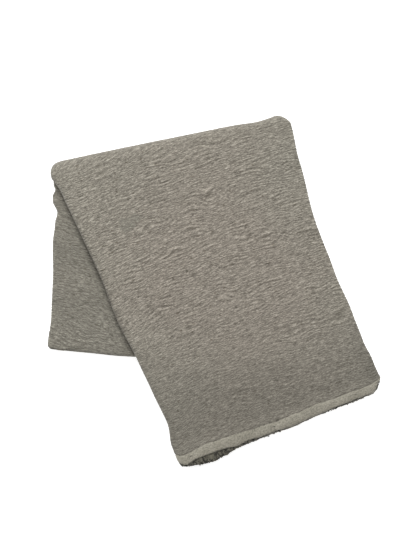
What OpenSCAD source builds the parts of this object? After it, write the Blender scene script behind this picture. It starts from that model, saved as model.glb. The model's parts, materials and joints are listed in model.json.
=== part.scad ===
// Crinkled cotton golf towel, folded in half crosswise, in thirds lengthwise and then over itself.
// The main fold's hinge line runs along local +X; both flaps leave it towards local -Y.

/* [Towel] */
// Width of the towel laid flat
towel_w = 406; // [300:1:500]
// Thickness of one layer of the crinkled cloth, at rest
cloth_t = 1.1; // [0.7:0.05:1.4]
// Width of the sewn hem at each end
end_hem_w = 5.2; // [3:0.1:10]
// Width of the sewn hem along each side
side_hem_w = 6; // [4:0.5:9]
// Thickness of the overlock thread along the lower end
overlock_w = 1.2; // [0.6:0.1:2]

/* [Folded shape] */
// Width of the folded strip where it turns over the main fold
fold_w = 145; // [130:1:160]
// Length of the front flap, from the main fold to the middle of its hem
front_l = 179; // [165:1:200]
// Width of the front flap at its hem
front_end_w = 126; // [110:1:140]
// Angle of the front flap from square to the main fold
front_skew = 8; // [0:0.5:12]
// Angle of the front flap's hem to the main fold
front_turn = 7; // [0:0.5:12]
// How far the lower layers stand out past the front flap's left corner
layer_step = 2.2; // [0:0.1:4]
// Length of the back flap, from the main fold to the middle of its crosswise fold
back_l = 125; // [100:1:130]
// Width of the back flap at its crosswise fold
back_end_w = 137; // [120:1:150]
// Angle of the back flap from square to the main fold
back_skew = 15.5; // [0:0.5:18]
// Angle of the back flap's crosswise fold to the main fold
back_turn = 20; // [0:0.5:22]
// Distance from the main fold at which the front flap steps down off the back flap
step_at = 147; // [140:0.5:150]
// Length of that slope
step_l = 12; // [8:0.5:14]
// Angle of the main fold line to the row's +X axis
fold_angle = 13; // [0:0.5:20]

/* [Stitching] */
// Distance from one stitch to the next
stitch_pitch = 4; // [2:0.5:8]
// Length of thread showing in one stitch
stitch_l = 2.6; // [1:0.1:3]
// Width of the thread
thread_w = 0.4; // [0.2:0.05:0.6]
// Height of the thread above the hem
thread_h = 0.3; // [0.15:0.05:0.3]

/* [Hidden] */
$fn = 64;

cloth = [0.55, 0.53, 0.48];
cloth_dark = [0.49, 0.47, 0.43];
hem_colour = [0.6, 0.58, 0.53];
thread_colour = [0.66, 0.64, 0.58];
overlock_colour = [0.25, 0.24, 0.21];

panels = 3;
panel_t = 2 * cloth_t;
flap_t = panels * panel_t;
joint_gap = 0.3;
axis_z = flap_t + joint_gap / 2;
front_z = flap_t + joint_gap;
strip_w = towel_w / 3;

// Shares of the strip's width at which the folds, panels and side hems meet
left_fold = panel_t * 1.5 / strip_w;
right_fold = 1 - panel_t / strip_w;
middle_hem = [left_fold + 2 / strip_w, left_fold + (2 + side_hem_w) / strip_w];
inner_hem = [1 - (8 + side_hem_w) / strip_w, 1 - 8 / strip_w];
hem_share = 1 - end_hem_w / front_l;
hem_stitch_share = hem_share + 1 / front_l;
hem_sink = thread_h + 0.1;

function heading(angle) = [cos(angle), sin(angle)];
function flap_corners(l, skew, w, turn) =
    let (middle = l * [sin(skew), -cos(skew)])
    [[-fold_w / 2, 0], [fold_w / 2, 0], middle - heading(turn) * w / 2, middle + heading(turn) * w / 2];

// Corners of a flap seen from above: fold left, fold right, end left, end right
back_corners = flap_corners(back_l, -back_skew, back_end_w, -back_turn);
function front_corners(level) =
    let (c = flap_corners(front_l, front_skew, front_end_w, front_turn), edge = c[2] - c[0])
    [c[0], c[1], c[2] + edge / norm(edge) * layer_step * level, c[3]];
front_reach = front_l + front_end_w;

// Point at share s from the fold to the flap's end and share v across it
function on_flap(c, s, v) =
    let (near = c[0] + (c[1] - c[0]) * v, far = c[2] + (c[3] - c[2]) * v)
    near + (far - near) * s;

// The row's origin is under the middle of the folded towel's bounding box
function turned(p) = [
    p[0] * cos(fold_angle) - p[1] * sin(fold_angle),
    p[0] * sin(fold_angle) + p[1] * cos(fold_angle)
];
bound_share = 1 + overlock_w / front_l;
low_left = [
    turned(back_corners[2] + cloth_t * heading(-90 - back_turn))[0],
    turned(on_flap(front_corners(panels - 1), bound_share, 0))[1]
];
high_right = [turned(on_flap(front_corners(0), bound_share, 1))[0], turned([fold_w / 2, axis_z])[1]];
box_middle = (low_left + high_right) / 2;

module place() translate([-box_middle[0], -box_middle[1], 0]) rotate(fold_angle) children();

module zone(c, v, s) {
    polygon([on_flap(c, s[0], v[0]), on_flap(c, s[0], v[1]), on_flap(c, s[1], v[1]), on_flap(c, s[1], v[0])]);
}

// A layer of the back flap between heights z[0] and z[1] and shares v across the strip
module back_layer(z, v) {
    place() translate([0, 0, z[0]]) linear_extrude(z[1] - z[0]) zone(back_corners, v, [0, 1]);
}

// The front flap's side view between two heights above its underside, stepping down to the table
module front_profile(z) {
    top = front_z + z[1];
    low = front_z + z[0];
    foot = step_at + step_l;
    rotate([90, 0, 90]) linear_extrude(2 * front_reach, center = true) polygon([
        [-joint_gap, low], [-step_at, low], [-foot, low - front_z], [-front_reach, low - front_z],
        [-front_reach, top - front_z], [-foot, top - front_z], [-step_at, top], [-joint_gap, top]
    ]);
}

// A layer of the front flap, where level counts panels from the outside
module front_layer(level, z, v, s) {
    place() intersection() {
        linear_extrude(4 * flap_t) zone(front_corners(level), v, s);
        front_profile(z);
    }
}

// Heights of panel level in the back flap, and above the front flap's underside
function back_band(level) = [level * panel_t, (level + 1) * panel_t];
function front_band(level) = [flap_t - (level + 1) * panel_t, flap_t - level * panel_t];

// One panel's quarter of the way round the main fold, as a half tube
module fold_roll(level) {
    outer_r = axis_z - level * panel_t;
    place() translate([0, 0, axis_z]) rotate([90, 0, 90]) intersection() {
        difference() {
            cylinder(h = fold_w, r = outer_r, center = true);
            cylinder(h = fold_w + 2, r = outer_r - panel_t, center = true);
        }
        translate([0, -2 * flap_t, -fold_w]) cube([2 * flap_t, 4 * flap_t, 2 * fold_w]);
    }
}

// Stitches of thread standing on a hem, from one plan point to another
module stitch_row(from, to, z) {
    run = to - from;
    count = floor(norm(run) / stitch_pitch);
    turn = atan2(run[1], run[0]);
    for (i = [0 : count - 1]) {
        at = from + run * (i + 0.5) / count;
        translate([at[0], at[1], z + thread_h / 2]) rotate(turn)
            cube([stitch_l, thread_w, thread_h], center = true);
    }
}

module back_outer_panel() { color(cloth) back_layer(back_band(0), [left_fold, right_fold]); }

module back_middle_panel() { color(cloth) back_layer(back_band(1), [middle_hem[1], right_fold]); }

module back_inner_panel() { color(cloth_dark) back_layer(back_band(2), [left_fold, inner_hem[0]]); }

module back_left_side_fold() { color(cloth_dark) back_layer([0, flap_t], [0, left_fold]); }

module back_right_side_fold() { color(cloth_dark) back_layer([0, 2 * panel_t], [right_fold, 1]); }

module back_middle_side_hem() { color(hem_colour) back_layer(back_band(1), middle_hem); }

module back_inner_side_hem() {
    color(hem_colour) back_layer([2 * panel_t, flap_t - hem_sink], inner_hem);
}

module back_side_hem_stitching() {
    middle = (inner_hem[0] + inner_hem[1]) / 2;
    color(thread_colour) place()
        stitch_row(on_flap(back_corners, 0.02, middle), on_flap(back_corners, 0.98, middle), flap_t - hem_sink);
}

// The rounded ends of the three double panels, where the cloth turns back on itself
module crosswise_fold() {
    start = back_corners[2];
    color(cloth_dark) place() translate([start[0], start[1], 0]) rotate(-back_turn) for (level = [0 : panels - 1])
        translate([0, 0, (level + 0.5) * panel_t]) intersection() {
            rotate([0, 90, 0]) cylinder(h = back_end_w, r = cloth_t);
            translate([0, -panel_t, -panel_t]) cube([back_end_w, panel_t, 2 * panel_t]);
        }
}

module outer_fold_roll() { color(cloth) fold_roll(0); }

module middle_fold_roll() { color(cloth_dark) fold_roll(1); }

module inner_fold_roll() { color(cloth) fold_roll(2); }

module front_outer_panel() {
    color(cloth) front_layer(0, front_band(0), [left_fold, right_fold], [0, hem_share]);
}

module front_middle_panel() {
    color(cloth_dark) front_layer(1, front_band(1), [middle_hem[1], right_fold], [0, hem_share]);
}

module front_inner_panel() {
    color(cloth) front_layer(2, front_band(2), [left_fold, inner_hem[0]], [0, hem_share]);
}

module front_left_side_fold() {
    color(cloth_dark) front_layer(0, [0, flap_t], [0, left_fold], [0, hem_share]);
}

module front_right_side_fold() {
    color(cloth_dark) front_layer(0, [panel_t, flap_t], [right_fold, 1], [0, hem_share]);
}

module front_middle_side_hem() {
    color(hem_colour) front_layer(1, front_band(1), middle_hem, [0, hem_share]);
}

module front_inner_side_hem() {
    color(hem_colour) front_layer(2, [hem_sink, panel_t], inner_hem, [0, hem_share]);
}

module front_side_hem_stitching() {
    middle = (inner_hem[0] + inner_hem[1]) / 2;
    level_share = 0.95 * step_at / front_l;
    color(thread_colour) place() stitch_row(
        on_flap(front_corners(2), 0.02, middle), on_flap(front_corners(2), level_share, middle),
        front_z + hem_sink - thread_h
    );
}

// The upper leaf's hem: on top of the outer panel, and underneath in the two panels folded under it
module upper_end_hem() {
    color(hem_colour) {
        front_layer(0, [flap_t - cloth_t, flap_t], [0, 1], [hem_share, 1]);
        front_layer(1, [panel_t, panel_t + cloth_t], [middle_hem[0], 1], [hem_share, 1]);
        front_layer(2, [0, cloth_t], [0, inner_hem[1]], [hem_share, 1]);
    }
}

// The lower leaf's hem, face to face with the upper one in each panel
module lower_end_hem() {
    color(cloth_dark) {
        front_layer(0, [2 * panel_t, flap_t - cloth_t], [0, 1], [hem_share, 1]);
        front_layer(1, [panel_t + cloth_t, 2 * panel_t], [middle_hem[0], 1], [hem_share, 1]);
        front_layer(2, [cloth_t, panel_t], [0, inner_hem[1]], [hem_share, 1]);
    }
}

module upper_end_hem_stitching() {
    c = front_corners(0);
    color(thread_colour) place()
        stitch_row(on_flap(c, hem_stitch_share, 0.02), on_flap(c, hem_stitch_share, 0.98), flap_t);
}

// The thread bound over the lower leaf's edge in each panel
module lower_end_overlock() {
    bound = [1, bound_share];
    color(overlock_colour) {
        front_layer(0, [2 * panel_t, flap_t - cloth_t], [0, 1], bound);
        front_layer(1, [panel_t + cloth_t, 2 * panel_t], [middle_hem[0], 1], bound);
        front_layer(2, [cloth_t, panel_t], [0, inner_hem[1]], bound);
    }
}

back_outer_panel();
back_middle_panel();
back_inner_panel();
back_left_side_fold();
back_right_side_fold();
crosswise_fold();
back_middle_side_hem();
back_inner_side_hem();
back_side_hem_stitching();
outer_fold_roll();
middle_fold_roll();
inner_fold_roll();
front_outer_panel();
front_middle_panel();
front_inner_panel();
front_left_side_fold();
front_right_side_fold();
front_middle_side_hem();
front_inner_side_hem();
front_side_hem_stitching();
upper_end_hem();
lower_end_hem();
upper_end_hem_stitching();
lower_end_overlock();
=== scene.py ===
"""The looks of a folded, crinkled golf towel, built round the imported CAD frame.

The towel is one sheet. Every piece of it is laid out in the flat towel's own coordinates, a across its
width and b along its length, and on_towel() folds them: in half crosswise, in thirds lengthwise, and
then over the main fold. Lengths are in metres. A distance h from the cloth's middle is positive inward,
to the side that the crosswise fold encloses, on both leaves.
"""

import json
import math

import bpy
import numpy as np
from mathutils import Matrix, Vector


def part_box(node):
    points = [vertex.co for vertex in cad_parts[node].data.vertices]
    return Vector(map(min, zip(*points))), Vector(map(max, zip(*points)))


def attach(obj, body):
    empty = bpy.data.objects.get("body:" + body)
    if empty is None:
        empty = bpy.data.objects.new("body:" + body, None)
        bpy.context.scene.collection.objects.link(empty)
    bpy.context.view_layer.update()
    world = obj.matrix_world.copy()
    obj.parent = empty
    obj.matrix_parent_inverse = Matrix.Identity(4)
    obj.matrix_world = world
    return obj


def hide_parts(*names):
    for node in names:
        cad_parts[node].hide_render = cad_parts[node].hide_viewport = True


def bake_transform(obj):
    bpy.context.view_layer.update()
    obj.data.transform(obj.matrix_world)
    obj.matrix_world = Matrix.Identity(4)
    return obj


MM = 0.001
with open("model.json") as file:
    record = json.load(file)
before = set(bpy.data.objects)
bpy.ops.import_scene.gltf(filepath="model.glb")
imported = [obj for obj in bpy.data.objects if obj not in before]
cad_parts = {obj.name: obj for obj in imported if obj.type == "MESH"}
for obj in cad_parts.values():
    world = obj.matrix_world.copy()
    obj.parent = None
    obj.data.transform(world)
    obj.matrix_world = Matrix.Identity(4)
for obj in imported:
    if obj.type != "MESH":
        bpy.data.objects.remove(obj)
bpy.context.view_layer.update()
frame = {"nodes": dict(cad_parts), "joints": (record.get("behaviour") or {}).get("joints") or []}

# ---------------------------------------------------------------- the towel's dimensions

FLAT_W, FLAT_L = 0.406, 0.610

# The joint's place in the main fold, and the directions along the fold, across it away from the flaps,
# and up
JOINT = frame["joints"][0]
HINGE = np.array(JOINT["pos_m"])
RIGHT = -np.array(JOINT["axis"])
AWAY = np.array([-RIGHT[1], RIGHT[0], 0.0])
UP = np.array([0.0, 0.0, 1.0])


def hinge_points(node):
    """A CAD node's corners as distances along the main fold, across it, and up."""
    co = np.array([v.co for v in frame["nodes"][node].data.vertices])
    flat = co - HINGE * [1, 1, 0]
    return np.stack([flat @ RIGHT, flat @ AWAY, flat[:, 2]], axis=1)


def corner(node, toward):
    """The plan position of the node's topmost corner that lies furthest in a direction."""
    p = hinge_points(node)
    p = p[p[:, 2] > p[:, 2].max() - 0.5 * MM]
    return p[np.argmax(p[:, :2] @ np.array(toward, float)), :2]


# The flaps' corners in plan: left and right at the main fold, then left and right at the flap's end
BACK = [
    corner("back_left_side_fold", (-1, 3)),
    corner("back_right_side_fold", (1, 3)),
    corner("back_left_side_fold", (-1, -1)),
    corner("back_right_side_fold", (1, -1)),
]
FRONT = [
    BACK[0],
    BACK[1],
    corner("upper_end_hem", (-1, -1)),
    corner("upper_end_hem", (1, -1)),
]

# The thickness of a flap and of one of its 6 layers, the radius round the main fold, and the gap
# between the flaps
FLAP_T = float(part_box("back_left_side_fold")[1].z)
T = FLAP_T / 6
ROLL_R = float(HINGE[2])
GAP = 2 * (ROLL_R - FLAP_T)

# The widths of the hems, the height of the low ridge beside an end hem, and the height of the ripples
HEM_W, SIDE_HEM_W = 5.2 * MM, 6 * MM
HEM_RIDGE, RIPPLE_H = 0.35 * MM, 0.11 * MM

# ---------------------------------------------------------------- small numeric helpers


def smooth(x):
    """0 below 0, 1 above 1, and an easy curve between."""
    x = np.clip(x, 0, 1)
    return x * x * (3 - 2 * x)


def bell(x, width):
    """1 at 0, falling to 0 on both sides over about two widths."""
    return np.exp(-((x / width) ** 2))


def eased(points, x):
    """A curve through (place, value) points, level at each one."""
    xs, ys = np.array(points, float).T
    x = np.clip(x, xs[0], xs[-1])
    i = np.clip(np.searchsorted(xs, x, side="right") - 1, 0, len(xs) - 2)
    return ys[i] + (ys[i + 1] - ys[i]) * smooth((x - xs[i]) / (xs[i + 1] - xs[i]))


def ripple_field(size, step, wave, crest, spread, seed):
    """A seeded random field on a grid over size, with ridges one wave apart and about one crest long."""
    count = [int(s / d) for s, d in zip(size, step)]
    white = np.random.default_rng(seed).standard_normal(count)
    fa = np.fft.fftfreq(count[0], step[0])[:, None]
    fb = np.fft.rfftfreq(count[1], step[1])[None, :]
    gain = np.exp(-0.5 * ((fb * wave - 1) / spread) ** 2 - 0.5 * (2.5 * fa * crest) ** 2)
    made = np.fft.irfft2(np.fft.rfft2(white) * gain, s=count)
    return {"values": made / made.std(), "step": step}


def soft_field(size, step, length, seed):
    """A seeded random field of soft lumps about one length across."""
    return ripple_field(size, (step, step), length, length / 2.5, 0.9, seed)


def ramp_down(x, soft):
    """1 below 0, 0 above 1, and a straight slope between, with its ends rounded."""
    def rise(v):
        return soft * np.logaddexp(0, v / soft)

    return 1 - rise(x) + rise(x - 1)


def round_off(inset, radius):
    """How far a rounded corner lies back, at a distance in from its side."""
    c = radius - np.clip(inset, 0, radius)
    return radius - np.sqrt(radius**2 - c**2)


def read_field(field, a, b):
    """The field's value at each place, straight between its grid points."""
    v = field["values"]
    i = np.clip(a / field["step"][0], 0, v.shape[0] - 1.001)
    j = np.clip(b / field["step"][1], 0, v.shape[1] - 1.001)
    i0, j0 = i.astype(int), j.astype(int)
    u, w = i - i0, j - j0
    near = v[i0, j0] * (1 - w) + v[i0, j0 + 1] * w
    far = v[i0 + 1, j0] * (1 - w) + v[i0 + 1, j0 + 1] * w
    return near * (1 - u) + far * u


FLAT = (FLAT_W, FLAT_L)

# The crepe ripples' fields are longer than the towel, because slant() makes them be read past its end
SLANTED = (FLAT_W, FLAT_L + 0.09)
CREPE_STEP = (0.7 * MM, 0.25 * MM)
FINE_CREPE = ripple_field(SLANTED, CREPE_STEP, 1.55 * MM, 5.5 * MM, 0.36, 1)
BROAD_CREPE = ripple_field(SLANTED, CREPE_STEP, 3 * MM, 10 * MM, 0.45, 6)

# How the ripples wander and differ in strength, and how soft layers are unevenly thick
WANDER = soft_field(FLAT, 3 * MM, 34 * MM, 2)
VIGOUR = soft_field(FLAT, 3 * MM, 28 * MM, 3)
LUMPS = soft_field(FLAT, 1.5 * MM, 15 * MM, 4)
SWELL = soft_field(FLAT, 3 * MM, 60 * MM, 5)

# ---------------------------------------------------------------- how the towel is folded

# Places across the flat towel: the middle panel runs from 0 to A_RIGHT, then round the right side fold
# to A_OUTER, the outer panel runs on to A_LEFT, and past the left side fold the inner panel starts at
# A_INNER. The middle and inner panels stop short of the opposite fold, at shares of the way across.
FOLD_RIGHT, FOLD_LEFT = math.pi * T, 2 * math.pi * T
MIDDLE_EDGE, INNER_EDGE = 0.02, 0.94
PANEL_W = (FLAT_W - FOLD_RIGHT - FOLD_LEFT) / (2 + INNER_EDGE - MIDDLE_EDGE)
A_RIGHT = PANEL_W * (1 - MIDDLE_EDGE)
A_OUTER = A_RIGHT + FOLD_RIGHT
A_LEFT = A_OUTER + PANEL_W
A_INNER = A_LEFT + FOLD_LEFT

# Places along it, on the outer leaf: the front flap runs from 0 to B_FRONT, the roll round the main fold
# to B_ROLL, and the back flap to LEAF, in proportion to their lengths in the folded towel. The crosswise
# fold comes next, and the inner leaf runs back.
FOLD_ARC = 0.5 * math.pi * T
FRONT_RUN, ROLL_RUN, BACK_RUN = 179 * MM, 13 * MM, 125 * MM
LEAF = (FLAT_L - FOLD_ARC) / 2
PER_RUN = LEAF / (FRONT_RUN + ROLL_RUN + BACK_RUN)
B_FRONT = FRONT_RUN * PER_RUN
B_ROLL = B_FRONT + ROLL_RUN * PER_RUN

# How far in from a flap's left and right outlines its side folds begin to turn
LEFT_IN, RIGHT_IN = 2.9 * T, 1.9 * T

# Sideways offsets of each flap's edges in mm, to the right, at shares of the way from the fold to its end
FRONT_LEFT_EDGE = [
    (0, -1.6), (0.06, 0.1), (0.36, 1.1), (0.52, -0.3), (0.66, 1.4), (0.76, 2), (0.87, 2.8), (0.95, -0.4),
    (1, 0.2),
]
FRONT_RIGHT_EDGE = [
    (0, 2.5), (0.15, 0.2), (0.36, -2.2), (0.56, -0.8), (0.72, 1.6), (0.82, 2.4), (0.9, 4.2), (0.973, 5),
    (0.981, 2.6), (1, 1),
]
BACK_LEFT_EDGE = [
    (0, -1.6), (0.02, -0.2), (0.045, 0), (0.072, 1), (0.11, -0.5), (0.14, -0.3), (0.22, 2.8), (0.28, 1.6),
    (0.4, 0.6), (0.6, 1.4), (0.85, 1.2), (1, -0.4),
]
BACK_RIGHT_EDGE = [(0, 2), (0.4, 3), (0.7, 1), (1, 0)]

# How far the crosswise fold stands out past its straight line, in mm, at shares of the way across
BACK_END = [(0, 3.2), (0.25, 2.6), (0.5, 1)]

# Radii of the rounded corners, in plan: of the hemmed end, of the crosswise fold, and of the roll
HEM_CORNER, END_CORNER = 5 * MM, 3 * MM
ROLL_LEFT_CORNER, ROLL_RIGHT_CORNER = 8 * MM, 11 * MM

# How far the hemmed end sways past its straight line, and the layers under it past that, in mm,
# at shares of the way across from the left
HEM_LINE = [
    (0, 4.2), (0.068, 2.9), (0.136, 2.4), (0.2, 2.6), (0.27, 3.2), (0.323, 2.9), (0.39, 3.2), (0.56, 3.4),
    (0.7, 2.2), (0.85, 1.7), (1, 1.2),
]
CRESCENT = [
    (0, 0), (0.03, 1.5), (0.068, 3.4), (0.136, 4.8), (0.2, 3.4), (0.272, 1), (0.323, 1), (0.39, 0.1),
    (0.47, -0.2), (0.7, 0), (1, 0.1),
]

# How the ripples slant: their slope along the towel for each metre across it, how much of that eases
# off near the hem and down the back flap, and how far they turn by the left side fold. Near the hem
# they ease over a stretch of the towel's length and about a place in its width.
FRONT_SLOPE, HEM_EASING = 0.09, 0.13
BACK_SLOPE, BACK_EASING = 0.72, 0.62
LEFT_TURN = 8 * MM
EASING_RUN, EASING_PIVOT = 80 * MM, 0.2


def slant(a, b):
    """How far ripples at flat places (a, b) lie along the towel, where they cross it at a slant.

    The slant is slight on the outer panel, less near the hemmed end, more by the left side fold, and
    steep the other way on the layers past that fold, which show on the back flap.
    """
    turned = LEFT_TURN * np.clip((a - A_OUTER) / PANEL_W, 0, 1) ** 3
    steep = BACK_SLOPE - BACK_EASING * np.clip((b - B_ROLL) / (LEAF - B_ROLL), 0, 1)
    steep = steep * smooth((b - B_FRONT) / (B_ROLL - B_FRONT))
    a_outer = np.minimum(a, A_LEFT)
    near_hem = HEM_EASING * smooth(1 - b / EASING_RUN) * (a_outer - EASING_PIVOT)
    return FRONT_SLOPE * a_outer - near_hem + turned - steep * np.maximum(a - A_LEFT, 0)


def across(a, d):
    """Where width a lies in the folded strip, for cloth d outside its double panel's middle.

    Gives the share of the way from the left fold to the right one, the distance outside them, and the
    depth below the strip's outer face.
    """
    right_turn = (a - A_RIGHT) / T
    left_turn = (a - A_LEFT) / (2 * T)
    masks = [a < A_RIGHT, a < A_OUTER, a < A_LEFT, a < A_INNER]
    share = np.select(
        masks,
        [MIDDLE_EDGE + a / PANEL_W, np.ones_like(a), 1 - (a - A_OUTER) / PANEL_W, np.zeros_like(a)],
        (a - A_INNER) / PANEL_W,
    )
    outside = np.select(
        masks,
        [0 * a, (T + d) * np.sin(right_turn), 0 * a, -(2 * T + d) * np.sin(left_turn)],
        0,
    )
    depth = np.select(
        masks,
        [3 * T + d, 2 * T + (T + d) * np.cos(right_turn), T - d, 3 * T - (2 * T + d) * np.cos(left_turn)],
        5 * T + d,
    )
    return share, outside, depth


def along(b):
    """Where length b lies on the folded path, for both leaves.

    Gives the share of the front flap's length, of the roll's half turn and of the back flap's length,
    the distance past the crosswise fold, and how far outside the double panel's middle the cloth is.
    """
    turn = np.clip((b - LEAF) / (T / 2), 0, math.pi)
    leaf_b = np.where(b <= LEAF, b, np.minimum(FLAT_L - b, LEAF))
    front = 1 - leaf_b / B_FRONT
    roll = (leaf_b - B_FRONT) / (B_ROLL - B_FRONT)
    back = (leaf_b - B_ROLL) / (LEAF - B_ROLL)
    return front, roll, back, T / 2 * np.sin(turn), T / 2 * np.cos(turn)


def joint_share(b):
    """How far cloth at length b follows the front flap: 0 on the back flap, 1 on the front one."""
    return 1 - np.clip(along(b)[1], 0, 1)


def lerp(p, q, s):
    """Points between p and q."""
    return p + (q - p) * s[..., None]


def strip(corners, edges, end_share, share, outside):
    """Plan points on a flap, end_share of the way to its end and share across between its side folds.

    Gives how far in from the flap's left and right outlines they are, too.
    """
    offset = [eased(e, np.clip(end_share, 0, 1)) * MM for e in edges]
    left = lerp(corners[0], corners[2], end_share) + offset[0][..., None] * [1, 0]
    right = lerp(corners[1], corners[3], end_share) + offset[1][..., None] * [1, 0]
    run = right - left
    width = np.linalg.norm(run, axis=-1)
    run = run / width[..., None]
    inset = LEFT_IN + share * (width - LEFT_IN - RIGHT_IN) + outside
    return left + run * inset[..., None], inset, width - inset


def inside_edge(p, start, end, soft):
    """1 on the left of the line from start to end, falling to 0 over a distance beside it."""
    run = (end - start) / np.linalg.norm(end - start)
    d = (p[..., 1] - start[1]) * run[0] - (p[..., 0] - start[0]) * run[1]
    return ramp_down(-d / soft, 0.1)


# Over what distances the front flap comes down to the table, past the back flap's end and beyond its
# right and left sides, and over what distance from the main fold it is held up as well, less and less
END_FALL, RIGHT_FALL, LEFT_FALL, HELD_UP = 46 * MM, 80 * MM, 9 * MM, 45 * MM


def support(p):
    """Height of what the front flap lies on: the back flap, falling away to the table beside it."""
    left, right, end_left, end_right = BACK
    over = inside_edge(p, end_left, end_right, END_FALL)
    over = over * inside_edge(p, end_right, right, RIGHT_FALL)
    over = over * inside_edge(p, left, end_left, LEFT_FALL)
    near_fold = 1 - smooth(-p[..., 1] / HELD_UP)
    return (FLAP_T + GAP) * np.maximum(over, near_fold)


def hem_reach(depth, share, left_in, right_in):
    """How far the cloth's end stands out past the flap's straight end line.

    The line sways, its corners are round, and the layers under the outer hem show past it at the left,
    the second one most and each deeper one a little less.
    """
    sway = eased(HEM_LINE, share) * MM
    corners = round_off(left_in, HEM_CORNER) + round_off(right_in, HEM_CORNER)
    crescent = eased(CRESCENT, share) * MM
    below_first = np.clip((depth - 0.6 * T) / (0.8 * T), 0, 1)
    deeper = np.clip(depth / T - 2, 0, 4)
    showing = below_first * (1 - 0.15 * deeper)
    return sway - corners + crescent * showing


def flap_run(corners):
    """The direction in plan from the main fold to a flap's end."""
    run = (corners[2] + corners[3] - corners[0] - corners[1]) / 2
    return run / np.linalg.norm(run)


def on_front_flap(front, share, outside, depth, swell):
    """Places on the front flap, front of the way to its hemmed end, where it comes down to the table."""
    plan, left_in, right_in = strip(FRONT, (FRONT_LEFT_EDGE, FRONT_RIGHT_EDGE), front, share, outside)
    reach = hem_reach(depth, share, left_in, right_in) * smooth((front - 0.85) / 0.15)
    plan = plan + flap_run(FRONT) * reach[..., None]
    thicker_at_hem = 1 + 0.18 * smooth((front - 0.93) / 0.05)
    eased_swell = 1 + (swell - 1) * smooth(front / 0.04)
    top = support(plan) + (FLAP_T - depth) * thicker_at_hem * eased_swell
    return np.concatenate([plan, top[..., None]], axis=-1)


def on_back_flap(back, past, share, outside, depth, swell):
    """Places on the back flap, back of the way to its end or past it round the crosswise fold.

    It is tucked down beside the roll, at the left.
    """
    plan, left_in, _ = strip(BACK, (BACK_LEFT_EDGE, BACK_RIGHT_EDGE), back, share, outside)
    sway = eased(BACK_END, share) * MM - round_off(left_in, END_CORNER)
    past = past + sway * smooth((back - 0.8) / 0.2)
    plan = plan + flap_run(BACK) * past[..., None]
    eased_swell = 1 + (swell - 1) * smooth(back / 0.05)
    tuck = 1 - 0.5 * bell(left_in, 8 * MM) * bell(back - 0.06, 0.05)
    return np.concatenate([plan, (depth * eased_swell * tuck)[..., None]], axis=-1)


# How the roll bulges, as shares of its radius: more towards its left end, in a bump by its right end and
# less in a dip before that, with the distances in from the right end and the widths of these two
LEFT_BULGE, BUMP, DIP = 0.36, 0.16, 0.15
BUMP_IN, BUMP_W = 5.5 * MM, 4.5 * MM
DIP_IN, DIP_W = 20 * MM, 10 * MM


def on_fold_roll(roll, share, outside, depth):
    """Places round the main fold, roll of the way from the front flap to the back flap.

    The roll stands out further towards its left end and in a small bump by its right end, with a dip
    before that, and its ends are rounded.
    """
    turn = math.pi * (1 - np.clip(roll, 0, 1))
    radius = ROLL_R - depth
    plan, left_in, right_in = strip(BACK, (BACK_LEFT_EDGE, BACK_RIGHT_EDGE), 0 * turn, share, outside)
    bulge = 1 + LEFT_BULGE * (1 - smooth(share)) + BUMP * bell(right_in - BUMP_IN, BUMP_W)
    bulge = bulge - DIP * bell(right_in - DIP_IN, DIP_W)
    corners = round_off(left_in, ROLL_LEFT_CORNER) + round_off(right_in, ROLL_RIGHT_CORNER)
    bulge = bulge * (1 - 0.85 * np.minimum(corners / ROLL_LEFT_CORNER, 1.1))
    away = radius * np.sin(turn) * bulge
    return np.stack([plan[..., 0], away, ROLL_R - radius * np.cos(turn)], axis=-1)


def fold_surface(a, b):
    """The towel's middle surface at flat places (a, b), without its crinkles, in the frame's axes.

    Each place is worked out on the front flap, on the roll and on the back flap, and then taken from
    the one that it is on. The swell is the uneven thickness of soft layers.
    """
    a, b = np.broadcast_arrays(np.asarray(a, float), np.asarray(b, float))
    front, roll, back, past, d = along(b)
    share, outside, depth = across(a, d)
    swell = 1 + 0.018 * read_field(LUMPS, a, b) + 0.04 * read_field(SWELL, a, b)
    choices = [
        on_front_flap(front, share, outside, depth, swell),
        on_fold_roll(roll, share, outside, depth),
        on_back_flap(back, past, share, outside, depth, swell),
    ]
    where = np.select([b < 0, front >= 0, roll < 1], [0, 0, 1], 2)[..., None]
    p = np.choose(where, choices)
    return HINGE * [1, 1, 0] + p[..., :1] * RIGHT + p[..., 1:2] * AWAY + p[..., 2:] * UP


def on_towel(a, b, h=0.0):
    """Points at flat places (a, b), a distance h inward of the cloth's middle."""
    a, b = np.broadcast_arrays(np.asarray(a, float), np.asarray(b, float))
    step = 0.1 * MM
    da = fold_surface(a + step, b) - fold_surface(a - step, b)
    db = fold_surface(a, b + step) - fold_surface(a, b - step)
    inward = np.cross(da, db)
    inward = inward / np.maximum(np.linalg.norm(inward, axis=-1, keepdims=True), 1e-12)
    return fold_surface(a, b) + inward * np.asarray(h, float)[..., None]


# How much calmer the ripples are at the side folds, towards the hemmed end, round the roll and past the
# left side fold
CALMER_AT_FOLDS, CALMER_TO_END, CALMER_ON_ROLL, CALMER_PAST_LEFT = 0.2, 0.45, 0.6, 0.32


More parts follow.
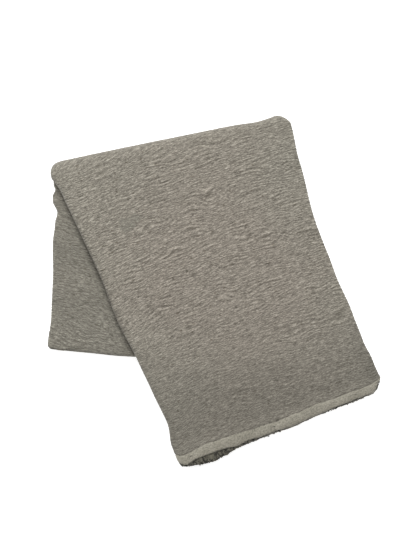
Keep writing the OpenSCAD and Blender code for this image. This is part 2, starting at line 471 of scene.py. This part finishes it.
def crinkle(a, b):
    """The crepe ripples at flat places (a, b), from about -1 on crests to 1 in hollows, 0 on the hems.

    They are calmer at the side folds, round the roll, towards the hemmed end and past the left fold.
    """
    wander = b + 1.2 * MM * read_field(WANDER, a, b)
    fine = read_field(FINE_CREPE, a, wander + slant(a, b))
    broad = read_field(BROAD_CREPE, a, wander + slant(a, b))
    r = 1.05 * fine + 0.17 * broad
    r = np.tanh(1.1 * r) + 0.05 * r
    from_fold = np.minimum(np.abs(a - A_OUTER), np.abs(a - A_LEFT))
    on_roll = bell(b - B_FRONT - 7 * MM, 10 * MM)
    vigour = np.clip(1 + 0.12 * read_field(VIGOUR, a, b), 0.4, 1.6)
    vigour = vigour * (1 - CALMER_AT_FOLDS * np.exp(-from_fold / (5 * MM)))
    to_end = smooth(1 - b / (110 * MM))
    vigour = vigour * (1 - CALMER_TO_END * to_end) * (1 - CALMER_ON_ROLL * on_roll)
    vigour = vigour * (1 - CALMER_PAST_LEFT * smooth((a - A_LEFT) / (8 * MM)))
    from_end = np.minimum(b, FLAT_L - b)
    from_side = np.minimum(a, FLAT_W - a)
    level = smooth((from_end - HEM_W) / (2 * MM)) * smooth((from_side - SIDE_HEM_W) / (2 * MM))
    return r * vigour * level


# ---------------------------------------------------------------- meshes


def new_object(name, points, faces, material):
    """A smooth mesh in the scene, from (n, 3) points and (m, 4) point numbers of its quads."""
    mesh = bpy.data.meshes.new(name)
    mesh.vertices.add(len(points))
    mesh.vertices.foreach_set("co", np.asarray(points, np.float32).ravel())
    count = faces.shape[1]
    mesh.loops.add(faces.size)
    mesh.polygons.add(len(faces))
    mesh.loops.foreach_set("vertex_index", faces.astype(np.int32).ravel())
    mesh.polygons.foreach_set("loop_start", np.arange(0, faces.size, count, dtype=np.int32))
    mesh.update(calc_edges=True)
    mesh.validate()
    mesh.shade_smooth()
    mesh.materials.append(material)
    made = bpy.data.objects.new(name, mesh)
    bpy.context.scene.collection.objects.link(made)
    return made


def grid_faces(rows, columns, wrap=False):
    """Quads of a grid of points, whose columns may close on themselves."""
    i, j = np.meshgrid(np.arange(rows - 1), np.arange(columns - (0 if wrap else 1)), indexing="ij")
    i, j = i.ravel(), j.ravel()
    k = (j + 1) % columns
    return np.stack([i * columns + j, i * columns + k, (i + 1) * columns + k, (i + 1) * columns + j], axis=1)


def set_map(piece, name, a, b):
    """Writes a pair of coordinates on the flat towel, in metres, as a UV map of the piece."""
    mesh = piece.data
    uv = mesh.uv_layers.new(name=name)
    index = np.zeros(len(mesh.loops), np.int32)
    mesh.loops.foreach_get("vertex_index", index)
    flat = np.stack([np.ravel(a), np.ravel(b)], axis=1)[index]
    uv.data.foreach_set("uv", flat.astype(np.float32).ravel())


def set_value(piece, name, values):
    """Writes a number for each point of the piece, which its material reads by name."""
    attribute = piece.data.attributes.new(name, "FLOAT", "POINT")
    attribute.data.foreach_set("value", np.ravel(values).astype(np.float32))


def follow_fold(piece, b):
    """Bakes a piece's transform into its mesh and works out how far each point's length b follows the front
    flap; the piece is not bent with the main fold.
    """
    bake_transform(piece)
    weights = joint_share(np.ravel(b)).astype(np.float32)


def steps(*stops):
    """Places through (place, spacing up to the next) stops, and the last place."""
    parts = [
        np.linspace(p, q, max(2, int(round((q - p) / gap)) + 1))[:-1]
        for (p, gap), (q, _) in zip(stops, stops[1:])
    ]
    return np.concatenate(parts + [[stops[-1][0]]])


# How much of the inner panel has fine steps, from the left side fold on
FINE_INNER = 56 * MM


def make_cloth(material):
    """The towel cloth itself: one sheet, with fine steps and ripples where it shows, coarse elsewhere."""
    a = steps(
        (0, 20 * MM), (A_RIGHT, 0.5 * MM), (A_OUTER, 1.5 * MM), (A_LEFT, 0.85 * MM), (A_INNER, 1.4 * MM),
        (A_INNER + FINE_INNER, 3.6 * MM), (FLAT_W, 0),
    )
    b = steps(
        (0, 0.5 * MM), (B_FRONT, 0.4 * MM), (B_ROLL, 0.8 * MM), (LEAF, 0.35 * MM), (LEAF + FOLD_ARC, 8 * MM),
        (FLAT_L - B_ROLL, 1.6 * MM), (FLAT_L - B_FRONT, 8 * MM), (FLAT_L, 0),
    )
    a, b = np.meshgrid(a, b, indexing="xy")
    ripple = crinkle(a, b) * (b < LEAF)
    from_band = np.minimum(b, FLAT_L - b) - HEM_W - 0.7 * MM
    points = on_towel(a, b, RIPPLE_H * ripple - HEM_RIDGE * bell(from_band, 0.9 * MM))
    cloth = new_object("towel_cloth", points.reshape(-1, 3), grid_faces(*a.shape), material)
    set_map(cloth, "flat", a, b)
    set_map(cloth, "crepe", a, b + slant(a, b))
    set_value(cloth, "_CRINKLE", ripple)
    set_painted_shade_and_tones(cloth, a, b)
    follow_fold(cloth, b)
    return cloth


# Painted shade and light: how much darker the cloth is painted, as shade, past the left side fold, behind on
# the roll, near the hemmed end and at that end's right corner, and how much paler it is painted, as light,
# beside the left side fold
PAINTED_SHADE_PAST_LEFT, PAINTED_SHADE_BEHIND, PAINTED_SHADE_NEAR_END, PAINTED_SHADE_AT_CORNER = 0.13, 0.1, 0.22, 0.14
PAINTED_LIGHT_BESIDE_LEFT = 0.04


def set_painted_shade_and_tones(cloth, a, b):
    """Writes where the cloth is painted darker as shade or paler as light, where it is warmer and where its
    pattern is calmer, for its material.
    """
    near_end = smooth(1 - b / (60 * MM))
    at_corner = near_end * bell(a - A_OUTER, 7 * MM)
    past_left = smooth((a - A_LEFT) / (8 * MM))
    behind = smooth((b - B_FRONT + 4 * MM) / (10 * MM))
    beside_left = bell(a - A_LEFT + 9 * MM, 9 * MM) * (1 - near_end)
    # The painted shade and light, as one factor on the cloth's colour
    painted_shading = 1 - PAINTED_SHADE_PAST_LEFT * past_left - PAINTED_SHADE_BEHIND * behind * (1 - past_left)
    painted_shading = painted_shading - PAINTED_SHADE_NEAR_END * near_end - PAINTED_SHADE_AT_CORNER * at_corner
    set_value(cloth, "_TONE", painted_shading + PAINTED_LIGHT_BESIDE_LEFT * beside_left)
    centre = ((a - A_OUTER - PANEL_W / 2) / (45 * MM)) ** 2 + ((b - 0.55 * B_FRONT) / (60 * MM)) ** 2
    set_value(cloth, "_WARMTH", np.exp(-centre / 2))
    on_roll = bell(b - B_FRONT - 9 * MM, 9 * MM)
    set_value(cloth, "_CALM", 0.2 * smooth(1 - b / (90 * MM)) + 0.3 * on_roll + 0.08 * past_left)


def band_profile(inner, outer, thickness, crown):
    """Outline round a hem's cross-section: places across the hem, and distances from the cloth's middle."""
    s = np.linspace(-1, 1, 11)
    edge = (1 - s**8) ** 0.5
    h = thickness / 2 * edge + crown * (1 - s**2)
    w = (inner + outer) / 2 + s * (outer - inner) / 2
    return np.concatenate([w, w[-2:0:-1]]), np.concatenate([h, -h[-2:0:-1]])


def make_end_hem(name, end, material):
    """The turned hem across one end, as a flat tube round the cloth's edge, open at its two ends.

    Its edges waver a little and its thickness varies in small puckers.
    """
    w, h = band_profile(inner=HEM_W, outer=-0.5 * MM, thickness=0.85 * MM, crown=0.3 * MM)
    a = steps(
        (0, 2 * MM), (A_RIGHT, 0.5 * MM), (A_OUTER, 1.2 * MM), (A_LEFT, 0.8 * MM), (A_INNER, 2 * MM),
        (FLAT_W, 0),
    )
    a, w = np.meshgrid(a, w, indexing="ij")
    sway = 1.5 * np.sin(a / (9 * MM)) + np.sin(a / (3.1 * MM) + 1) + 0.5 * np.sin(a / (1.3 * MM) + 2)
    b = end + (w + 0.22 * MM * sway * np.where(w > HEM_W / 2, 1, -0.5)) * (1 if end == 0 else -1)
    h = np.broadcast_to(h, a.shape) * (1 + 0.12 * np.sin(a / (2.3 * MM) + w / MM))
    piece = new_object(name, on_towel(a, b, h).reshape(-1, 3), grid_faces(*a.shape, wrap=True), material)
    set_map(piece, "flat", a, b)
    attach(piece, "front_flap")
    return piece


def make_side_hem(name, side, material):
    """The turned hem along one side, through both leaves and both flaps."""
    w, h = band_profile(inner=SIDE_HEM_W, outer=-0.4 * MM, thickness=0.8 * MM, crown=0.1 * MM)
    b = steps(
        (0, 2 * MM), (B_FRONT, 0.5 * MM), (B_ROLL, 2 * MM), (LEAF, 0.3 * MM), (LEAF + FOLD_ARC, 4 * MM),
        (FLAT_L, 0),
    )
    b, w = np.meshgrid(b, w, indexing="ij")
    a = side + w * (1 if side == 0 else -1)
    h = np.broadcast_to(h, b.shape)
    piece = new_object(name, on_towel(a, b, h).reshape(-1, 3), grid_faces(*a.shape, wrap=True), material)
    set_map(piece, "flat", a, b)
    follow_fold(piece, b)
    return piece


def tube(path, radius, sides=5):
    """A grid of points round a path, as rows of rings, from (n, 3) points and n radii."""
    way = np.gradient(path, axis=0)
    way /= np.maximum(np.linalg.norm(way, axis=1, keepdims=True), 1e-12)
    side = np.cross(way, UP + 0.3 * RIGHT)
    side /= np.maximum(np.linalg.norm(side, axis=1, keepdims=True), 1e-12)
    lift = np.cross(side, way)
    angle = np.linspace(0, 2 * math.pi, sides, endpoint=False)
    ring = side[:, None] * np.cos(angle)[None, :, None] + lift[:, None] * np.sin(angle)[None, :, None]
    return path[:, None] + ring * np.reshape(radius, (-1, 1, 1))


def make_thread(name, runs, radius, material, bends):
    """Many short tubes of thread, each from its own flat places and distances inward, as one piece.

    If it bends, its transform is only baked into its mesh; if it doesn't, it follows the front flap.
    """
    points, faces, flat_b, flat_a, start = [], [], [], [], 0
    for a, b, h in runs:
        shape = np.sqrt(np.sin(np.linspace(0.12, math.pi - 0.12, len(a))))
        ring = tube(on_towel(a, b, h), radius * shape)
        points.append(ring.reshape(-1, 3))
        faces.append(grid_faces(ring.shape[0], ring.shape[1], wrap=True) + start)
        flat_a.append(np.repeat(a, ring.shape[1]))
        flat_b.append(np.repeat(b, ring.shape[1]))
        start += ring.shape[0] * ring.shape[1]
    piece = new_object(name, np.concatenate(points), np.concatenate(faces), material)
    set_map(piece, "flat", np.concatenate(flat_a), np.concatenate(flat_b))
    if bends:
        follow_fold(piece, np.concatenate(flat_b))
    else:
        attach(piece, "front_flap")
    return piece


def stitch_runs(start, end, pitch, length, depth):
    """Stitches in a row between two flat places, each a low arch on the cloth's inward face."""
    start, end = np.array(start), np.array(end)
    count = int(np.linalg.norm(end - start) / pitch)
    way = (end - start) / np.linalg.norm(end - start)
    for i in range(count):
        middle = start + (end - start) * (i + 0.5) / count
        t = np.linspace(-0.5, 0.5, 6)
        line = middle + way * t[:, None] * length
        yield line[:, 0], line[:, 1], depth + 0.22 * MM * (1 - (2 * t) ** 2)


def overlock_runs():
    """Loops of thread over the lower end's edge, each from a needle line inside the edge and back to it."""
    rng = np.random.default_rng(7)
    pitch = 0.42 * MM
    for i in range(int(FLAT_W / pitch)):
        t = np.linspace(-1, 1, 9)
        reach = (1.4 + 4.3 * rng.random() ** 1.2) * MM
        out = 0.4 * MM * (1 + 0.6 * rng.standard_normal())
        lean = 1.6 * MM * rng.standard_normal()
        a = (i + 0.5) * pitch + lean * t + 0.35 * MM * rng.standard_normal(9)
        b = FLAT_L + out - (reach + out) * t**2
        h = (0.9 + 0.5 * rng.random()) * MM * np.sign(t) * np.minimum(1, 2.6 * np.abs(t))
        yield np.clip(a, 0, FLAT_W), b, h


# ---------------------------------------------------------------- materials


class Nodes:
    """A short way to write a material's nodes."""

    def __init__(self, name):
        self.material = bpy.data.materials.new(name)
        self.material.use_nodes = True
        self.tree = self.material.node_tree
        self.surface = self.tree.nodes["Principled BSDF"]

    def add(self, kind, inputs=(), **settings):
        """A new node, with each input a value or another node's output."""
        node = self.tree.nodes.new(kind)
        for key, value in settings.items():
            setattr(node, key, value)
        for key, value in dict(inputs).items():
            if isinstance(value, bpy.types.NodeSocket):
                self.tree.links.new(value, node.inputs[key])
            else:
                node.inputs[key].default_value = value
        return node

    def maths(self, operation, *values, clamp=False):
        """The result of an operation on values or other nodes' outputs."""
        node = self.add("ShaderNodeMath", operation=operation, use_clamp=clamp)
        for i, value in enumerate(values):
            if isinstance(value, bpy.types.NodeSocket):
                self.tree.links.new(value, node.inputs[i])
            else:
                node.inputs[i].default_value = value
        return node.outputs[0]

    def flat(self, a_scale, b_scale, uv_map="flat"):
        """The flat towel's coordinates, scaled to each pattern."""
        uv = self.add("ShaderNodeUVMap", uv_map=uv_map)
        return self.add(
            "ShaderNodeMapping", {"Vector": uv.outputs[0], "Scale": (a_scale, b_scale, 1)}
        ).outputs[0]

    def noise(self, vector, detail=2.0, roughness=0.5):
        """Soft noise from 0 to 1, with lumps about one unit of the vector across."""
        node = self.add(
            "ShaderNodeTexNoise",
            {"Vector": vector, "Scale": 1.0, "Detail": detail, "Roughness": roughness},
            noise_dimensions="2D",
        )
        return node.outputs["Fac"]

    def ramp(self, value, stops):
        """A colour that runs through (place, colour) stops with the value."""
        node = self.add("ShaderNodeValToRGB", {"Fac": value})
        while len(node.color_ramp.elements) < len(stops):
            node.color_ramp.elements.new(0.5)
        for element, (place, colour) in zip(node.color_ramp.elements, stops):
            element.position = place
            element.color = (*colour, 1)
        return node.outputs[0]

    def mix(self, factor, one, other, blend="MIX"):
        """Two colours blended, with the factor as the other one's share."""
        node = self.add("ShaderNodeMix", data_type="RGBA", blend_type=blend)
        for key, value in (("Factor", factor), ("A", one), ("B", other)):
            socket = next(s for s in node.inputs if s.name == key and s.type != "VECTOR" and s.enabled)
            if isinstance(value, bpy.types.NodeSocket):
                self.tree.links.new(value, socket)
            else:
                socket.default_value = value if key == "Factor" else (*value, 1)
        return next(s for s in node.outputs if s.type == "RGBA")

    def finish(self, colour, height, distance, roughness, sheen=0.15):
        """Joins the patterns to the surface, with a height of 1 standing for the distance."""
        bump = self.add("ShaderNodeBump", {"Height": height, "Distance": distance, "Strength": 1.0})
        links = self.tree.links
        links.new(colour, self.surface.inputs["Base Color"])
        links.new(bump.outputs[0], self.surface.inputs["Normal"])
        links.new(roughness, self.surface.inputs["Roughness"])
        self.surface.inputs["Specular IOR Level"].default_value = 0.15
        self.surface.inputs["Sheen Weight"].default_value = sheen
        self.surface.inputs["Sheen Roughness"].default_value = 0.5
        return self.material


# How often the cloth's and the hems' weave and the twist in a sewing thread repeat
CLOTH_WEAVE, HEM_WEAVE, THREAD_TWIST = 1.1 * MM, 0.9 * MM, 0.5 * MM

# The cloth's darkest, middle and palest yarns, and its colour where the heather is calm
DARK_YARN, YARN, PALE_YARN = (0.104, 0.096, 0.079), (0.24, 0.222, 0.188), (0.435, 0.41, 0.351)
CALM_CLOTH = (0.24, 0.222, 0.184)


def weave(n, pitch):
    """Height of a plain weave that repeats once a pitch, from 0 to 1."""
    turn = 2 * math.pi / pitch
    flat = n.flat(1, 1)
    split = n.add("ShaderNodeSeparateXYZ", {"Vector": flat})
    loose = n.maths("MULTIPLY", n.noise(n.flat(900, 900)), 1.6)
    along_a = n.maths("SINE", n.maths("ADD", n.maths("MULTIPLY", split.outputs[0], turn), loose))
    along_b = n.maths("SINE", n.maths("ADD", n.maths("MULTIPLY", split.outputs[1], turn), loose))
    crossed = n.maths("MULTIPLY", along_a, along_b)
    return n.maths("MULTIPLY_ADD", crossed, 0.5, 0.5)


def cloth_material():
    """Crinkled cotton: heathered taupe yarns in a plain weave, with painted light and shade: paler in the
    ripples' hollows, darker on their crests, and shaded along the folds.
    """
    n = Nodes("crinkled_cloth")
    streaks = n.noise(n.flat(240, 2000, "crepe"), detail=2.0, roughness=0.6)
    drifts = n.noise(n.flat(60, 420, "crepe"), detail=1.0)
    fibres = n.noise(n.flat(700, 2900, "crepe"), detail=2.0, roughness=0.6)
    heather = n.maths("ADD", n.maths("MULTIPLY", streaks, 0.46), n.maths("MULTIPLY", fibres, 0.46))
    heather = n.maths("MULTIPLY_ADD", drifts, 0.065, heather)
    colour = n.ramp(heather, [(0.345, DARK_YARN), (0.495, YARN), (0.645, PALE_YARN)])
    warmth = n.add("ShaderNodeAttribute", attribute_name="_WARMTH").outputs["Fac"]
    blotch = n.maths("MULTIPLY_ADD", n.noise(n.flat(14, 18), detail=1.0), 0.5, warmth)
    tint = n.ramp(blotch, [(0.25, (0.985, 1.0, 0.985)), (1.0, (1.022, 0.99, 0.982))])
    colour = n.mix(1.0, colour, tint, "MULTIPLY")
    # Painted light and shade of the ripples, standing in for how light falls across them: paler in their
    # hollows, darker on their crests
    ripple = n.add("ShaderNodeAttribute", attribute_name="_CRINKLE").outputs["Fac"]
    hollow = n.maths("MULTIPLY_ADD", ripple, 0.35, 0.5, clamp=True)
    painted_ripple_shading = n.ramp(
        hollow, [(0.0, (0.52, 0.51, 0.49)), (0.5, (0.97, 0.97, 0.97)), (1.0, (1.38, 1.38, 1.38))]
    )
    colour = n.mix(1.0, colour, painted_ripple_shading, "MULTIPLY")
    specks = n.ramp(n.noise(n.flat(330, 600), detail=0.0), [(0.13, (0.7, 0.68, 0.65)), (0.2, (1, 1, 1))])
    colour = n.mix(1.0, colour, specks, "MULTIPLY")
    calm = n.add("ShaderNodeAttribute", attribute_name="_CALM").outputs["Fac"]
    colour = n.mix(calm, colour, CALM_CLOTH)
    # The painted shade and light of the folds, multiplied into the colour
    painted_shading = n.add("ShaderNodeAttribute", attribute_name="_TONE").outputs["Fac"]
    colour = n.mix(1.0, colour, painted_shading, "MULTIPLY")
    threads = weave(n, CLOTH_WEAVE)
    height = n.maths("ADD", n.maths("MULTIPLY", threads, 0.45), n.maths("MULTIPLY", heather, 1.6))
    roughness = n.maths("MULTIPLY_ADD", fibres, -0.15, 0.95)
    return n.finish(colour, height, 0.22 * MM, roughness)


def hem_material(name, pale):
    """Flat pressed cotton of a hem, in a fine even weave."""
    n = Nodes(name)
    fibres = n.noise(n.flat(800, 1300), detail=3.0, roughness=0.6)
    dark = tuple(0.7 * c for c in pale)
    light = tuple(1.25 * c for c in pale)
    colour = n.ramp(fibres, [(0.32, dark), (0.5, pale), (0.7, light)])
    blotch = n.noise(n.flat(90, 140), detail=2.0)
    tint = n.ramp(blotch, [(0.35, (0.9, 0.9, 0.88)), (0.6, (1.03, 1.03, 1.02))])
    colour = n.mix(1.0, colour, tint, "MULTIPLY")
    height = n.maths("ADD", weave(n, HEM_WEAVE), n.maths("MULTIPLY", fibres, 0.7))
    roughness = n.maths("MULTIPLY_ADD", fibres, -0.12, 0.94)
    return n.finish(colour, height, 0.1 * MM, roughness)


def thread_material(name, pale, dark_runs=1.0):
    """Spun thread, with its twist as slanting ridges, and some of its runs darker than others."""
    n = Nodes(name)
    split = n.add("ShaderNodeSeparateXYZ", {"Vector": n.flat(1, 1)})
    total = n.maths("ADD", split.outputs[0], split.outputs[1])
    twist = n.maths("SINE", n.maths("MULTIPLY", total, 2 * math.pi / THREAD_TWIST))
    fuzz = n.noise(n.flat(2600, 2600), detail=2.0)
    mixed = n.maths("MULTIPLY_ADD", twist, 0.2, fuzz)
    dark = tuple(0.6 * c for c in pale)
    light = tuple(1.3 * c for c in pale)
    colour = n.ramp(mixed, [(0.25, dark), (0.5, pale), (0.8, light)])
    patches = n.ramp(n.noise(n.flat(700, 420), detail=1.0), [(0.42, (dark_runs,) * 3), (0.6, (1, 1, 1))])
    colour = n.mix(1.0, colour, patches, "MULTIPLY")
    roughness = n.maths("MULTIPLY_ADD", fuzz, -0.1, 0.85)
    return n.finish(colour, mixed, 0.06 * MM, roughness, sheen=0.1)


# ---------------------------------------------------------------- the towel

cloth = make_cloth(cloth_material())
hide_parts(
    *[f"{flap}_{panel}_panel" for flap in ("back", "front") for panel in ("outer", "middle", "inner")],
    *[f"{flap}_{side}_side_fold" for flap in ("back", "front") for side in ("left", "right")],
    *[f"{panel}_fold_roll" for panel in ("outer", "middle", "inner")],
    "crosswise_fold",
)

END_HEM = hem_material("end_hem", (0.30, 0.282, 0.235))
# A darker copy of the end hem's colour for the lower end hem: painted shade, where it lies under the upper
# end hem
PAINTED_SHADE_LOWER_HEM = hem_material("lower_end_hem", (0.16, 0.15, 0.118))
SIDE_HEM = hem_material("side_hem", (0.27, 0.25, 0.21))
THREAD = thread_material("sewing_thread", (0.36, 0.34, 0.29))
OVERLOCK = thread_material("overlock_thread", (0.19, 0.18, 0.145), dark_runs=0.2)

upper_hem = make_end_hem("upper_end_hem_band", 0, END_HEM)
lower_hem = make_end_hem("lower_end_hem_band", FLAT_L, PAINTED_SHADE_LOWER_HEM)
middle_hem = make_side_hem("middle_side_hem_band", 0, SIDE_HEM)
inner_hem = make_side_hem("inner_side_hem_band", FLAT_W, SIDE_HEM)
for piece, slot, nodes in (
    (upper_hem, "end_hem", ["upper_end_hem"]),
    (lower_hem, "end_hem", ["lower_end_hem"]),
    (middle_hem, "side_hem", ["back_middle_side_hem", "front_middle_side_hem"]),
    (inner_hem, "side_hem", ["back_inner_side_hem", "front_inner_side_hem"]),
):
    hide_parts(*nodes)

# The stitches' spacing and length, their thread's and the overlock thread's radius, the distance of each
# row of stitches from the towel's edge, and how far inward of the cloth's middle the stitches lie
PITCH, LENGTH = 3.2 * MM, 2.3 * MM
THREAD_R, OVERLOCK_R = 0.22 * MM, 0.27 * MM
END_ROW, SIDE_ROW = HEM_W - 0.9 * MM, SIDE_HEM_W - 1 * MM
END_STITCH_IN, SIDE_STITCH_IN = 0.6 * MM, 0.45 * MM

upper_thread = make_thread(
    "upper_end_hem_thread",
    stitch_runs((0, END_ROW), (FLAT_W, END_ROW), PITCH, LENGTH, END_STITCH_IN),
    THREAD_R, THREAD, bends=False,
)
lower_thread = make_thread(
    "lower_end_hem_thread",
    stitch_runs((0, FLAT_L - END_ROW), (FLAT_W, FLAT_L - END_ROW), PITCH, LENGTH, END_STITCH_IN),
    THREAD_R, THREAD, bends=False,
)
side_thread = make_thread(
    "side_hem_thread",
    [
        run
        for a in (SIDE_ROW, FLAT_W - SIDE_ROW)
        for run in stitch_runs((a, HEM_W), (a, FLAT_L - HEM_W), PITCH, LENGTH, SIDE_STITCH_IN)
    ],
    THREAD_R, THREAD, bends=True,
)
overlock = make_thread("lower_end_overlock_thread", overlock_runs(), OVERLOCK_R, OVERLOCK, bends=False)
for piece, slot, nodes in (
    (upper_thread, "sewing_thread", ["upper_end_hem_stitching"]),
    (lower_thread, "sewing_thread", []),
    (side_thread, "sewing_thread", ["back_side_hem_stitching", "front_side_hem_stitching"]),
    (overlock, "overlock_thread", ["lower_end_overlock"]),
):
    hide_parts(*nodes)

# ---------------------------------------------------------------- stage, light and camera

# The floor's height, and the height of what the camera sees at the towel
FLOOR_Z = -0.4 * MM
VIEW_HEIGHT = 0.3215


def make_floor():
    """A plain pale floor just below the towel, with a glow of its own that keeps the shadow faint."""
    bpy.ops.mesh.primitive_plane_add(size=3.0, location=(0, 0, FLOOR_Z))
    floor = bpy.context.object
    floor.name = "floor"
    n = Nodes("floor")
    n.surface.inputs["Base Color"].default_value = (0.95, 0.95, 0.95, 1)
    n.surface.inputs["Roughness"].default_value = 0.9
    n.surface.inputs["Emission Color"].default_value = (1, 1, 1, 1)
    n.surface.inputs["Emission Strength"].default_value = 0.7
    floor.data.materials.append(n.material)


def make_light(name, place, size, watts):
    """A square lamp that shines at the middle of the towel."""
    light = bpy.data.lights.new(name, "AREA")
    light.energy = watts
    light.size = size
    lamp = bpy.data.objects.new(name, light)
    bpy.context.scene.collection.objects.link(lamp)
    lamp.location = place
    toward = -np.array(place)
    lamp.rotation_mode = "QUATERNION"
    lamp.rotation_quaternion = Vector(toward).to_track_quat("-Z", "Y")


def make_world(strength):
    """Even white light from all round."""
    world = bpy.data.worlds.new("studio")
    world.use_nodes = True
    background = world.node_tree.nodes["Background"]
    background.inputs["Color"].default_value = (1, 1, 1, 1)
    background.inputs["Strength"].default_value = strength
    bpy.context.scene.world = world


def make_camera():
    """A long lens, from nearly overhead and a little to the front."""
    tilt = math.radians(80)
    reach = 2.5
    target = Vector((-0.0070, 0.0144, 0.004))
    back = Vector((0, -math.cos(tilt), math.sin(tilt)))
    camera = bpy.data.objects.new("camera", bpy.data.cameras.new("camera"))
    bpy.context.scene.collection.objects.link(camera)
    camera.location = target + back * reach
    camera.rotation_mode = "QUATERNION"
    camera.rotation_quaternion = (-back).to_track_quat("-Z", "Y")
    camera.data.sensor_width = 36
    camera.data.lens = camera.data.sensor_width * reach / VIEW_HEIGHT
    bpy.context.scene.camera = camera


make_floor()
make_world(strength=0.4)
make_light("key", place=(-0.18, 0.7, 0.95), size=0.7, watts=11.5)
make_light("fill", place=(0.2, 0.3, 1.2), size=1.4, watts=3.6)
make_camera()
bpy.context.scene.view_settings.view_transform = "Standard"
